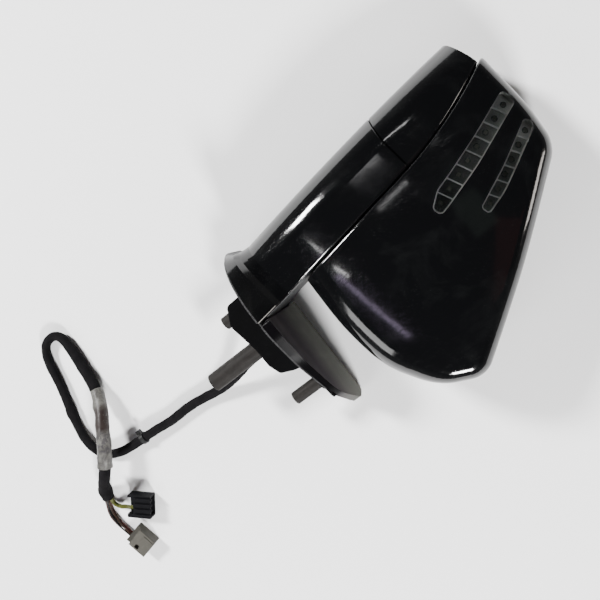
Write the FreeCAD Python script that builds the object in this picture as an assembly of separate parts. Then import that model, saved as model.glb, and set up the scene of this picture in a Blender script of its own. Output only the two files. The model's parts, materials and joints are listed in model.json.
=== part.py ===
import FreeCAD, Part
import math
import os
from FreeCAD import Placement, Rotation, Vector

# Power-folding side mirror of a car, right-hand side, lying glass down on a bench.
# Frame: +X outboard, square to the door; +Z the car's forward; -Y the car's up; z = 0 the bench.
# The head is modelled in its own frame (x along its lower edge, outboard; -y up; z forward),
# which is then turned by the sweep of the arm and moved to the head origin.

# ---------------------------------------------------------------- driving dimensions, mm
SWEEP_DEG = 8.87
HEAD_ORIGIN = Vector(-49.5, 24.5, 0)
WALL = 2.3
CLEAR = 0.3

# head: cap, rim and glass
CROWN_CENTRE = (60.0, -50.0)
CROWN_PEAK = 96.0
CROWN_RADIUS = 420.0
RIM_TOP = 14.0
SHOULDER = 16.0
INBOARD_SHOULDER = 24.0
CAP_EDGE_Y = 6.0
EDGE_BEND_X = 113.0
EDGE_RADIUS = 310.0
CAP_LIP = 9.0
BEZEL_WIDTH = 8.5
GLASS_INSET = 12.5
GLASS_Z = 6.0
GLASS_THICK = 2.5
HEATER_THICK = 0.5
CARRIER_THICK = 2.5

# arm and lower cover
ARM_Y = 7.5
COVER_Y = 6.8
ARM_FLOOR = 16.0
ARM_OUTER_Y = 62.3
ARM_TAPER = 0.024
ARM_FRONT_RADIUS = 30.0
ARM_REAR_RADIUS = 12.0

# fold joint
FOLD_X = 52.0
FOLD_Z = 56.0
TONGUE_RADIUS = 78.0
TONGUE_GAP = 0.9
TUBE_RADIUS = 11.0
HUB_RADIUS = 18.0
PEDESTAL_RADIUS = 20.0
PEDESTAL_TOP_Y = 5.2
DETENT_TOP_Y = 1.2
HUB_END_Y = -30.0
TUBE_END_Y = -58.0
SPRING_RADIUS = 14.3
SPRING_WIRE = 2.4
SPRING_PITCH = 2.8
SPRING_TURNS = 3.2
SPRING_STEPS = 12
SPRING_Y = -50.8

# glass adjuster
PIVOT_X = 106.0
PIVOT_Y = -60.0
PIVOT_Z = 17.0
PLUNGER_ARM = 36.0
ADJUSTER_FLOOR = 23.0
PLATE_Z = 33.0
PLATE_THICK = 3.0

# head frame and fold drive
CAP_SCREWS = [(12.0, -16.0), (68.0, -126.0), (206.0, -14.0), (12.0, -88.0)]
ADJUSTER_SCREWS = [(76.0, -24.0), (76.0, -74.0), (162.0, -37.0), (162.0, -60.0)]
GEARBOX_X = (6.0, 76.0)
GEARBOX_Z = (36.2, 78.0)
GEARBOX_END_Y = -62.0
GEAR_Y = (-34.0, -40.0)
GEAR_TEETH = 30
GEAR_RADIUS = 17.0

# light strips, as depths below the outer form
STRIP_FLOOR = 44.0
TRAY_DEPTH = 8.0
BOARD_DEPTH = 9.2
BOARD_BACK_DEPTH = 10.8

# foot, on the door
DOOR_X = -92.2
FLARE_Y = (24.8, 91.8)
FLARE_TOP = 107.0
SAIL_THICK = 8.0
SAIL_DISH = 2.6
SAIL_DISH_RADIUS = 420.0
SAIL_EDGE_RADIUS = 3.4
GASKET_THICK = 2.0
BLOCK_Z = (18.0, 60.0)
STUDS = {
    "centre_stud": {"y": 10.4, "z": 50.0, "seat": -102.0, "tip": -175.9, "radius": 8.3,
                    "bore": 4.25, "bore_depth": 30.0},
    "upper_stud": {"y": -44.5, "z": 41.0, "seat": -92.0, "tip": -127.5, "radius": 6.0,
                   "bore": 2.5, "bore_depth": 24.0},
    "lower_stud": {"y": 46.0, "z": 41.0, "seat": -102.0, "tip": -137.0, "radius": 6.0,
                   "bore": 2.5, "bore_depth": 20.0},
}

# harness
CORD_DIAMETER = 10.0
LOW = CORD_DIAMETER / 2 + 0.2
CORD_EXIT = Vector(-130.0, 6.5, 30.0)
BLACK_BRANCH_DIAMETER = 4.0
WHITE_BRANCH_DIAMETER = 5.4
LABEL_THICK = 1.2


# ---------------------------------------------------------------- helpers
def place(shape):
    """Take a shape from the head frame to the part frame."""
    placed = shape.copy()
    turn = Rotation(Vector(0, 0, 1), SWEEP_DEG)
    placed.Placement = Placement(HEAD_ORIGIN, turn).multiply(placed.Placement)
    return placed


def to_head(point):
    """A point of the part frame, given in the head frame."""
    turn = Rotation(Vector(0, 0, 1), -SWEEP_DEG)
    return turn.multVec(point - HEAD_ORIGIN)


def rounded_edges(points, radii):
    """Edges of a closed planar outline whose corners are arcs of the given radii."""
    corners = []
    count = len(points)
    for index in range(count):
        corner = points[index]
        back = (points[index - 1] - corner).normalize()
        ahead = (points[(index + 1) % count] - corner).normalize()
        half = back.getAngle(ahead) / 2
        reach = radii[index] / math.tan(half)
        middle_way = (back + ahead).normalize()
        centre = corner + middle_way * (radii[index] / math.sin(half))
        corners.append((corner + back * reach, centre - middle_way * radii[index],
                        corner + ahead * reach))
    edges = []
    for index in range(count):
        start, middle, end = corners[index]
        following = corners[(index + 1) % count][0]
        if radii[index] > 0:
            edges.append(Part.Arc(start, middle, end).toShape())
        if (following - end).Length > 1e-6:
            edges.append(Part.LineSegment(end, following).toShape())
    return edges


def rounded_wire(points, radii):
    if not isinstance(radii, (list, tuple)):
        radii = [radii] * len(points)
    return Part.Wire(Part.__sortEdges__(rounded_edges(points, radii)))


def flat_wire(outline, radii=0.0, z=0.0):
    return rounded_wire([Vector(x, y, z) for x, y in outline], radii)


def prism(wire, low, high):
    shape = Part.Face(wire).extrude(Vector(0, 0, high - low))
    shape.translate(Vector(0, 0, low))
    return shape


def box(x_range, y_range, z_range):
    size = [max(span) - min(span) for span in (x_range, y_range, z_range)]
    return Part.makeBox(*size, Vector(min(x_range), min(y_range), min(z_range)))


def rod(radius, start, end):
    axis = Vector(*end) - Vector(*start)
    return Part.makeCylinder(radius, axis.Length, Vector(*start), axis)


def tube(outer, inner, start, end):
    return rod(outer, start, end).cut(rod(inner, start, end))


def fold_rod(radius, y_start, y_end):
    return rod(radius, (FOLD_X, y_start, FOLD_Z), (FOLD_X, y_end, FOLD_Z))


def edges_where(shape, test):
    return [edge for edge in shape.Edges if test(edge.BoundBox)]


def softened(shape, radius, test):
    """Round the edges that pass the test, or leave them if they can't be rounded."""
    try:
        rounded = shape.makeFillet(radius, edges_where(shape, test))
    except Part.OCCError:
        return shape
    return rounded if rounded.isValid() else shape


def biggest(shape):
    return max(shape.Solids, key=lambda solid: solid.Volume)


def screw(head_radius, head_height, shank_radius, length, seat, direction):
    """A pan-head screw with a cross recess; seat is under the head, direction the way it drives."""
    way = Vector(*direction)
    seat = Vector(*seat)
    head = Part.makeCylinder(head_radius, head_height, seat - way * head_height, way)
    shank = Part.makeCylinder(shank_radius, length, seat - way * 0.01, way)
    body = head.fuse(shank)
    turn = Rotation(Vector(0, 0, 1), way)
    for angle in (0, 90):
        slot = box((-head_radius * 0.6, head_radius * 0.6), (-0.35, 0.35), (-0.01, head_height * 0.55))
        slot.Placement = Placement(seat - way * head_height, turn.multiply(
            Rotation(Vector(0, 0, 1), angle)))
        body = body.cut(slot)
    return body


def save(name, shape):
    shape.exportStep("parts/" + name + ".step")


# ---------------------------------------------------------------- head outline and crown
HEAD_CORNERS = [(7.0, 34.0), (-4.7, -44.0), (-4.3, -89.0), (13.0, -128.5), (48.0, -151.5),
                (131.0, -108.5), (212.0, -62.5), (220.2, -27.0), (225.6, 34.0)]
HEAD_RADII = [0.0, 260.0, 90.0, 60.0, 22.0, 800.0, 28.0, 150.0, 0.0]


def head_wire(inset=0.0):
    wire = flat_wire(HEAD_CORNERS, HEAD_RADII)
    return wire.makeOffset2D(-inset) if inset else wire


def below(limit, low=-400.0):
    """Everything of the head on the upper side of a plane of constant y."""
    return box((-60, 300), (low, limit), (-20, 200))


def edge_rise(x):
    """How far the cap's rear edge has bent away from its straight run."""
    run = max(x - EDGE_BEND_X, 0.0)
    return EDGE_RADIUS - math.sqrt(EDGE_RADIUS ** 2 - run ** 2)


def cap_side(limit):
    """Everything of the head on the cap's side of a line that follows the bent rear edge."""
    centre_y = CAP_EDGE_Y + EDGE_RADIUS
    radius = centre_y - limit
    angles = [math.asin((x - EDGE_BEND_X) / radius) for x in (EDGE_BEND_X, 200.0, 290.0)]
    arc = [Vector(EDGE_BEND_X + radius * math.sin(a), centre_y - radius * math.cos(a), -20.0)
           for a in angles]
    corners = [arc[2], Vector(arc[2].x, -400.0, -20.0), Vector(-60.0, -400.0, -20.0),
               Vector(-60.0, limit, -20.0), arc[0]]
    edges = [Part.Arc(*arc).toShape()]
    edges += [Part.LineSegment(a, b).toShape() for a, b in zip(corners, corners[1:])]
    return Part.Face(Part.Wire(Part.__sortEdges__(edges))).extrude(Vector(0, 0, 220.0))


def crown_ball(inset=0.0):
    centre = Vector(CROWN_CENTRE[0], CROWN_CENTRE[1], CROWN_PEAK - CROWN_RADIUS)
    ball = Part.makeSphere(CROWN_RADIUS - inset)
    ball.Placement = Placement(centre, Rotation(Vector(1, 0, 0), 90))
    return ball


def head_block(inset=0.0):
    """The full form of the head, ahead of the rim, with its shoulder rounded."""
    body = prism(head_wire(inset), RIM_TOP, 130.0).common(crown_ball(inset))
    body = body.removeSplitter()
    document = FreeCAD.newDocument("shoulder")
    source = document.addObject("Part::Feature", "source")
    source.Shape = body
    fillet = document.addObject("Part::Fillet", "fillet")
    fillet.Base = source
    chosen = []
    for index, edge in enumerate(body.Edges, 1):
        bounds = edge.BoundBox
        middle = edge.valueAt((edge.FirstParameter + edge.LastParameter) / 2)
        if bounds.ZMin < 50.0 or bounds.YMin > 33.0 - inset * 1.5:
            continue
        radius = SHOULDER if middle.x > 10.0 else INBOARD_SHOULDER
        chosen.append((index, radius - inset, radius - inset))
    fillet.Edges = chosen
    document.recompute()
    shape = fillet.Shape.copy()
    FreeCAD.closeDocument(document.Name)
    return biggest(shape)


# ---------------------------------------------------------------- arm and lower cover form
def crown_height(x, y):
    reach = (x - CROWN_CENTRE[0]) ** 2 + (y - CROWN_CENTRE[1]) ** 2
    return CROWN_PEAK - CROWN_RADIUS + math.sqrt(CROWN_RADIUS ** 2 - reach)


def arm_section(x, near_side, inset, top=None, outer=None):
    """D-shaped section of the arm at one place along it."""
    rise = edge_rise(x)
    high = (top if top else crown_height(x, 10.0 + rise) - 0.6) - inset
    wide = (outer if outer else ARM_OUTER_Y - ARM_TAPER * x) - inset
    near = near_side + rise + inset
    corners = [Vector(x, near, ARM_FLOOR + inset), Vector(x, near, high),
               Vector(x, wide, high - 4.0), Vector(x, wide, ARM_FLOOR + inset)]
    radii = [2.8 - inset, 2.8 - inset, ARM_FRONT_RADIUS - inset, ARM_REAR_RADIUS - inset]
    return rounded_wire(corners, [max(radius, 0.4) for radius in radii])


def flare_section(inset):
    """Outline of the arm where it meets the door, in the head frame."""
    near, far = FLARE_Y
    corners = [(near + inset, inset), (near + inset, FLARE_TOP - inset),
               (far - inset, FLARE_TOP - inset), (far - inset, inset)]
    radii = [max(value - inset, 0.4) for value in (2.8, 2.8, 58.0, 14.0)]
    points = [to_head(Vector(DOOR_X, y, z)) for y, z in corners]
    return rounded_wire(points, radii)


FLARE_STATIONS = ((-25.5, 93.5, 66.2), (-21.5, 89.2, 64.4), (-17.5, 86.8, 63.4))


def arm_form(near_side, inset=0.0):
    """The underbody outboard of the flare: the arm and the lower cover, in one sweep."""
    places = (-13.0, 10.0, 50.0, 90.0, 112.0, 130.0, 148.0, 166.0, 184.0, 202.0, 228.0)
    form = Part.makeLoft([arm_section(x, near_side, inset) for x in places], True, False, False, 3)
    end = flat_wire([(-120, -10), (216.4 - inset, -10), (218.8 - inset, 24),
                     (212.6 - inset, 60.5 - inset), (150, 90), (-120, 120)],
                    [0, 0, 90, 17 - inset, 0, 0])
    return form.common(prism(end, -10, 150))


def flare_form(near_side, inset=0.0):
    """The arm's spread where it meets the door."""
    sections = [flare_section(inset)]
    for x, top, outer in FLARE_STATIONS:
        sections.append(arm_section(x, near_side, inset, top, outer))
    sections.append(arm_section(-13.0, near_side, inset))
    return Part.makeLoft(sections, True, True, False, 3)


def tongue(radius):
    """The inboard side of the fold gap: a round end about the fold axis."""
    return fold_rod(radius, -10, 100).fuse(box((-150, FOLD_X), (-10, 150), (-20, 150)))


# ---------------------------------------------------------------- light strips
STRIPS = {
    "upper": {"corners": [(138.6, -54.2), (139.4, -62.3), (160.0, -59.0), (209.5, -41.4),
                          (211.8, -36.0), (209.5, -30.8), (172.0, -44.8)],
              "radii": [3.0, 3.0, 60.0, 4.0, 4.0, 3.0, 150.0],
              "cells": ((145.8, -57.4), (203.8, -38.2)), "count": 6},
    "lower": {"corners": [(113.3, -28.5), (114.6, -36.8), (124.0, -36.0), (160.0, -30.6),
                          (213.8, -17.6), (215.5, -10.8), (213.5, -3.8), (176.0, -12.6),
                          (146.0, -18.2), (126.0, -21.3)],
              "radii": [4.0, 3.8, 15.0, 200.0, 4.0, 4.0, 3.0, 200.0, 100.0, 12.0],
              "cells": ((121.0, -29.6), (207.0, -12.4)), "count": 8},
}


def strip_wire(name, grow=0.0):
    strip = STRIPS[name]
    wire = flat_wire(strip["corners"], strip["radii"])
    return wire.makeOffset2D(grow) if grow else wire


def cell_places(name):
    """Centre of each light cell, and the angle of the row."""
    strip = STRIPS[name]
    (x0, y0), (x1, y1) = strip["cells"]
    last = strip["count"] - 1
    places = [(x0 + (x1 - x0) * step / last, y0 + (y1 - y0) * step / last)
              for step in range(strip["count"])]
    return places, math.degrees(math.atan2(y1 - y0, x1 - x0))


def turned_box(size, centre, angle, z_range):
    shape = box((-size[0] / 2, size[0] / 2), (-size[1] / 2, size[1] / 2), z_range)
    shape.Placement = Placement(Vector(centre[0], centre[1], 0), Rotation(Vector(0, 0, 1), angle))
    return shape


def make_lights(forms):
    for name in STRIPS:
        lens = prism(strip_wire(name, -CLEAR), STRIP_FLOOR, 120).common(forms[0]).cut(forms[1])
        lens = biggest(lens)
        save("light_lens_" + name, place(lens))
        tray = prism(strip_wire(name, 0.9), STRIP_FLOOR, 120).common(forms[2]).cut(forms[4])
        rim = prism(strip_wire(name, -0.9), STRIP_FLOOR, 120)
        places, angle = cell_places(name)
        ribs = [turned_box((1.0, 40.0), ((a[0] + b[0]) / 2, (a[1] + b[1]) / 2), angle + 6, (STRIP_FLOOR, 120))
                for a, b in zip(places, places[1:])]
        hollow = forms[2].common(rim).cut(forms[3])
        for rib in ribs:
            hollow = hollow.cut(rib)
        tray = biggest(tray.cut(hollow))
        holes = [rod(2.6, (x, y, STRIP_FLOOR), (x, y, 120)) for x, y in places]
        tray = tray.cut(Part.makeCompound(holes))
        save("light_reflector_" + name, place(biggest(tray)))
        board = prism(strip_wire(name, 0.2), STRIP_FLOOR, 120).common(forms[4]).cut(forms[5])
        board = biggest(board)
        save("light_board_" + name, place(board))
        chips = []
        for x, y in places:
            top = crown_height(x, y) - BOARD_DEPTH
            chips.append(turned_box((3.0, 3.0), (x, y), angle, (top - 0.4, top + 1.2)).cut(board))
        save("light_emitters_" + name, place(Part.makeCompound([biggest(chip) for chip in chips])))


# ---------------------------------------------------------------- head casing
def make_front_cap(forms):
    outer = forms[0].common(cap_side(CAP_EDGE_Y))
    outer = softened(outer, 1.8, lambda b: b.YMin > CAP_EDGE_Y - 0.5 and b.ZMax > RIM_TOP + 5
                     and b.XLength > 20)
    hollow = forms[1].common(cap_side(CAP_EDGE_Y - WALL))
    dropped = forms[1].copy()
    dropped.translate(Vector(0, 0, -CAP_LIP))
    hollow = hollow.fuse(dropped.common(cap_side(CAP_EDGE_Y + 5)))
    skirt = prism(head_wire(WALL), RIM_TOP - 1, 50.0).common(cap_side(CAP_EDGE_Y + 5))
    cap = outer.cut(hollow).cut(skirt)
    for name in STRIPS:
        cap = cap.cut(prism(strip_wire(name), 20, 120).common(forms[0]))
    save("front_cap", place(biggest(cap)))


def make_housing_floor(forms):
    dropped = forms[1].copy()
    dropped.translate(Vector(0, 0, -CAP_LIP - CLEAR))
    dropped = dropped.common(box((-60, 300), (-20, 100), (RIM_TOP, 200)))
    plate = dropped.common(cap_side(CAP_EDGE_Y).cut(cap_side(CAP_EDGE_Y - WALL)))
    inside = prism(head_wire(WALL + CLEAR), RIM_TOP, 150)
    plate = plate.common(inside)
    plate = plate.cut(fold_rod(PEDESTAL_RADIUS + 1.0, -10, 10))
    plate = plate.cut(box((149.0, 206.0), (-10, 40), (PLATE_Z - 0.5, PLATE_Z + PLATE_THICK + 0.5)))
    save("housing_floor", place(biggest(plate)))


def make_bezel():
    ring = prism(head_wire(), 0, RIM_TOP).common(below(CAP_EDGE_Y))
    hole = prism(head_wire(BEZEL_WIDTH), -1, RIM_TOP + 1).common(below(CAP_EDGE_Y - BEZEL_WIDTH))
    ring = ring.cut(hole)
    apron_outline = [(121.0, CAP_EDGE_Y - 1.0), (217.4, CAP_EDGE_Y - 1.0), (218.8, 24.0),
                     (213.2, 56.8), (121.0, 59.2)]
    apron = prism(flat_wire(apron_outline, [0, 0, 90, 17, 8]), 0, RIM_TOP)
    inner_outline = [(124.0, CAP_EDGE_Y + 0.5), (214.4, CAP_EDGE_Y + 0.5), (215.8, 24.0),
                     (210.4, 53.8), (124.0, 56.2)]
    apron = apron.cut(prism(flat_wire(inner_outline, [3, 3, 90, 14, 5]), -1, RIM_TOP - 3.0))
    bezel = ring.fuse(apron).removeSplitter()
    bezel = softened(bezel, 1.6, lambda b: b.ZMax < 0.01)
    save("glass_bezel", place(biggest(bezel)))


def make_lower_cover(arm_outer, arm_inner):
    keep = box((FOLD_X, 300), (-20, 120), (RIM_TOP - 10, 150)).cut(
        fold_rod(TONGUE_RADIUS + TONGUE_GAP, -30, 130))
    outer = arm_outer.common(keep)
    hollow_keep = box((FOLD_X, 300), (-20, 120), (RIM_TOP - 10, 150)).cut(
        fold_rod(TONGUE_RADIUS + TONGUE_GAP + WALL, -30, 130))
    shell = outer.cut(arm_inner.common(hollow_keep))
    mouth = [(124.5, COVER_Y + 3.5), (208.5, COVER_Y + 20.0), (208.5, 50.5), (124.5, 53.0)]
    shell = shell.cut(prism(flat_wire(mouth, [2, 3, 11, 5]), 5, ARM_FLOOR + 4))
    slot_z = (PLATE_Z - 0.5, PLATE_Z + PLATE_THICK + 0.5)
    shell = shell.cut(box((149.0, 206.0), (0, 34.0), slot_z))
    save("lower_cover", place(biggest(shell)))


# ---------------------------------------------------------------- head frame and fold drive
def make_head_frame():
    plate = prism(head_wire(WALL + CLEAR), PLATE_Z, PLATE_Z + PLATE_THICK).common(below(1.0))
    window = flat_wire([(80.5, -9.5), (157.5, -9.5), (157.5, -85.5), (80.5, -85.5)], 8.0)
    plate = plate.cut(prism(window, 0, 100))
    for corners in ([(14, -60), (60, -60), (60, -112), (30, -112)],
                    [(78, -98), (108, -98), (78, -116)],
                    [(170, -18), (198, -18), (198, -58), (170, -70)]):
        plate = plate.cut(prism(flat_wire(corners, 6.0), 0, 100))
    hub = fold_rod(HUB_RADIUS, DETENT_TOP_Y - 0.2, HUB_END_Y)
    web = box((FOLD_X - 15, FOLD_X + 15), (DETENT_TOP_Y - 0.2, HUB_END_Y), (PLATE_Z, FOLD_Z - 8))
    tail = box((150.0, 205.0), (0.0, 46.0), (PLATE_Z, PLATE_Z + PLATE_THICK))
    frame = plate.fuse([hub, web, tail]).removeSplitter()
    frame = frame.cut(fold_rod(TUBE_RADIUS + 0.06, 20, -80))
    for x, y in CAP_SCREWS:
        frame = frame.fuse(rod(4.5, (x, y, PLATE_Z), (x, y, PLATE_Z + 12)))
        frame = frame.cut(rod(1.6, (x, y, 0), (x, y, PLATE_Z + 13)))
    for x, y in ADJUSTER_SCREWS:
        frame = frame.cut(rod(1.6, (x, y, 0), (x, y, PLATE_Z + 13)))
    save("head_frame", place(frame))


def make_cap_screws():
    screws = [screw(3.6, 2.2, 1.6, 12.0, (x, y, PLATE_Z), (0, 0, 1)) for x, y in CAP_SCREWS]
    save("frame_screws", place(Part.makeCompound(screws)))


def make_fold_drive():
    shell = box(GEARBOX_X, (HUB_END_Y - 0.3, GEARBOX_END_Y), GEARBOX_Z)
    shell = softened(shell, 4.0, lambda b: b.YLength > 20)
    inner_x = (GEARBOX_X[0] + 2.2, GEARBOX_X[1] - 2.2)
    inner_z = (GEARBOX_Z[0] + 2.2, GEARBOX_Z[1] - 2.2)
    shell = shell.cut(box(inner_x, (HUB_END_Y - 2.8, GEARBOX_END_Y - 1), inner_z))
    shell = shell.cut(fold_rod(TUBE_RADIUS + 0.8, 0, -80))
    save("fold_gearbox", place(biggest(shell)))

    corners = [(x, z) for x in (GEARBOX_X[0] + 4.5, GEARBOX_X[1] - 4.5)
               for z in (GEARBOX_Z[0] + 4.5, GEARBOX_Z[1] - 4.5)]
    lid_y = GEARBOX_END_Y - 2.5
    lid = box(GEARBOX_X, (GEARBOX_END_Y, lid_y), GEARBOX_Z)
    lid = softened(lid, 4.0, lambda b: b.YLength > 2 and b.XLength < 1 and b.ZLength < 1)
    openings = [rod(1.2, (x, lid_y - 1, z), (x, GEARBOX_END_Y + 1, z)) for x, z in corners]
    openings.append(fold_rod(8.0, -50, -80))
    save("gearbox_lid", place(lid.cut(Part.makeCompound(openings))))
    screws = [screw(2.4, 1.6, 1.1, 2.4, (x, lid_y, z), (0, 1, 0)) for x, z in corners]
    save("gearbox_screws", place(Part.makeCompound(screws)))

    gear = fold_rod(GEAR_RADIUS, GEAR_Y[0], GEAR_Y[1])
    gap = box((-0.8, 0.8), (GEAR_Y[0] + 1, GEAR_Y[1] - 1), (GEAR_RADIUS - 1.9, GEAR_RADIUS + 1))
    for tooth in range(GEAR_TEETH):
        notch = gap.copy()
        notch.Placement = Placement(Vector(FOLD_X, 0, FOLD_Z),
                                    Rotation(Vector(0, 1, 0), 360 * tooth / GEAR_TEETH))
        gear = gear.cut(notch)
    gear = gear.cut(fold_rod(TUBE_RADIUS + 0.03, 0, -80))
    save("fold_gear", place(gear))

    motor_x = GEARBOX_X[0] + 14.0
    motor = rod(10.5, (motor_x, -36.0, FOLD_Z), (motor_x, -59.0, FOLD_Z))
    motor = motor.fuse(rod(4.0, (motor_x, -33.4, FOLD_Z), (motor_x, -36.5, FOLD_Z)))
    save("fold_motor", place(motor))


def make_pivot():
    pin = tube(TUBE_RADIUS, TUBE_RADIUS - 2.5, (FOLD_X, 46, FOLD_Z), (FOLD_X, TUBE_END_Y, FOLD_Z))
    groove = fold_rod(TUBE_RADIUS + 1, -53.6, -54.8).cut(fold_rod(TUBE_RADIUS - 0.7, -53, -55))
    save("pivot_tube", place(pin.cut(groove)))
    clip = fold_rod(14.0, -53.65, -54.75).cut(fold_rod(TUBE_RADIUS - 0.6, -53, -55))
    clip = clip.cut(box((FOLD_X - 3, FOLD_X + 3), (-53, -56), (FOLD_Z, FOLD_Z + 20)))
    save("circlip", place(clip))
    washer = fold_rod(16.5, -52.3, -53.6).cut(fold_rod(TUBE_RADIUS + 0.1, -50, -56))
    save("spring_washer", place(washer))
    detent = fold_rod(PEDESTAL_RADIUS - 1, DETENT_TOP_Y, PEDESTAL_TOP_Y)
    detent = detent.cut(fold_rod(TUBE_RADIUS + 0.05, -10, 10))
    for step in range(3):
        pocket = rod(2.6, (0, DETENT_TOP_Y - 1.2, 0), (0, DETENT_TOP_Y - 1.2, 40))
        pocket.Placement = Placement(Vector(FOLD_X, 0, FOLD_Z), Rotation(Vector(0, 1, 0), 120 * step))
        detent = detent.cut(pocket.common(fold_rod(60, -10, 10).cut(fold_rod(14, -10, 10))))
    save("detent_ring", place(detent))
    coil = []
    for step in range(int(SPRING_TURNS * SPRING_STEPS)):
        angle = 2 * math.pi * step / SPRING_STEPS
        coil.append(Vector(FOLD_X + SPRING_RADIUS * math.cos(angle),
                           SPRING_Y + SPRING_PITCH * step / SPRING_STEPS,
                           FOLD_Z + SPRING_RADIUS * math.sin(angle)))
    save("fold_spring", place(swept(bent_path(coil)[0], SPRING_WIRE / 2)))


# ---------------------------------------------------------------- glass adjuster
PAN_SPOT = (PIVOT_X + PLUNGER_ARM, PIVOT_Y)
TILT_SPOT = (PIVOT_X, PIVOT_Y + PLUNGER_ARM)
ADJUSTER_X = (81.0, 157.0)
ADJUSTER_Y = (-85.0, -10.0)
ADJUSTER_TOP = 44.0
ADJUSTER_BEVEL = 22.0
PIN_RADIUS = 1.5
PIN_BORE = 1.55
RING_RADII = (18.0, 14.0)
RING_Z = (PIVOT_Z - 1.8, PIVOT_Z + 1.8)


def make_adjuster():
    (x0, x1), (y0, y1) = ADJUSTER_X, ADJUSTER_Y
    outline = [(x0, y1), (x1 - ADJUSTER_BEVEL, y1), (x1, y1 - ADJUSTER_BEVEL), (x1, y0), (x0, y0)]
    case = prism(flat_wire(outline, 8.0), ADJUSTER_FLOOR, ADJUSTER_TOP)
    inner = flat_wire(outline, 8.0).makeOffset2D(-WALL)
    case = case.cut(prism(inner, ADJUSTER_FLOOR + WALL, ADJUSTER_TOP + 1))
    flange = flat_wire(outline, 8.0).makeOffset2D(9.0)
    flange = prism(flange, PLATE_Z - 2.5, PLATE_Z).cut(prism(flat_wire(outline, 8.0), 0, 60))
    flange = flange.common(prism(head_wire(WALL + 1.0), 0, 60))
    case = case.fuse(flange)
    for x, y in (PAN_SPOT, TILT_SPOT):
        guide = tube(5.5, 3.05, (x, y, 28.0), (x, y, 41.0))
        web = box((x - 1.2, x + 1.2), (y + 5, y + 12), (28, 41))
        case = case.cut(rod(10.5, (x, y, 10), (x, y, 27))).fuse([guide, web])
        pedestal = tube(12.5, 10.5, (x, y, ADJUSTER_FLOOR), (x, y, 28.0))
        roof = tube(12.5, 3.05, (x, y, 28.0), (x, y, 29.5))
        case = case.fuse([pedestal, roof])
    case = case.cut(rod(19.0, (PIVOT_X, PIVOT_Y, 10), (PIVOT_X, PIVOT_Y, 27)))
    for side in (-1, 1):
        lug = box((PIVOT_X + side * 19.2, PIVOT_X + side * 24.2), (PIVOT_Y - 3.5, PIVOT_Y + 3.5),
                  (13.9, ADJUSTER_FLOOR + 1))
        case = case.fuse(lug)
    case = case.cut(rod(PIN_BORE, (PIVOT_X - 30, PIVOT_Y, PIVOT_Z), (PIVOT_X + 30, PIVOT_Y, PIVOT_Z)))
    for x, y in ADJUSTER_SCREWS:
        case = case.cut(rod(1.7, (x, y, PLATE_Z - 6), (x, y, PLATE_Z + 1)))
    save("adjuster_case", place(biggest(case.removeSplitter())))

    lid = prism(flat_wire(outline, 8.0), ADJUSTER_TOP, ADJUSTER_TOP + 2.0)
    for x, y in (PAN_SPOT, TILT_SPOT):
        lid = lid.cut(rod(4.5, (x, y, 40), (x, y, 50)))
    save("adjuster_lid", place(lid))
    screws = [screw(3.2, 2.0, 1.55, 7.0, (x, y, PLATE_Z - 2.5), (0, 0, 1)) for x, y in ADJUSTER_SCREWS]
    save("adjuster_screws", place(Part.makeCompound(screws)))
    for name, start, end in (("pan_motor", (120.0, -75.5, 37.0), (146.0, -75.5, 37.0)),
                             ("tilt_motor", (91.0, -20.0, 37.0), (91.0, -46.0, 37.0))):
        direction = (Vector(*end) - Vector(*start)).normalize()
        can = rod(6.5, start, end)
        shaft = rod(1.2, start, tuple(Vector(*start) - direction * 4))
        save(name, place(can.fuse(shaft)))
    for name, (x, y) in (("pan_plunger", PAN_SPOT), ("tilt_plunger", TILT_SPOT)):
        ball = Part.makeSphere(4.6, Vector(x, y, PIVOT_Z))
        save(name, place(ball.fuse(rod(3.0, (x, y, PIVOT_Z), (x, y, 40.0)))))


def make_gimbal():
    ring = tube(RING_RADII[0], RING_RADII[1], (PIVOT_X, PIVOT_Y, RING_Z[0]), (PIVOT_X, PIVOT_Y, RING_Z[1]))
    for side in (-1, 1):
        ring = ring.fuse(rod(PIN_RADIUS, (PIVOT_X + side * 17, PIVOT_Y, PIVOT_Z),
                             (PIVOT_X + side * 23.8, PIVOT_Y, PIVOT_Z)))
        ring = ring.fuse(rod(PIN_RADIUS, (PIVOT_X, PIVOT_Y + side * 15, PIVOT_Z),
                             (PIVOT_X, PIVOT_Y + side * 9.2, PIVOT_Z)))
    save("gimbal_ring", place(ring.removeSplitter()))


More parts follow.
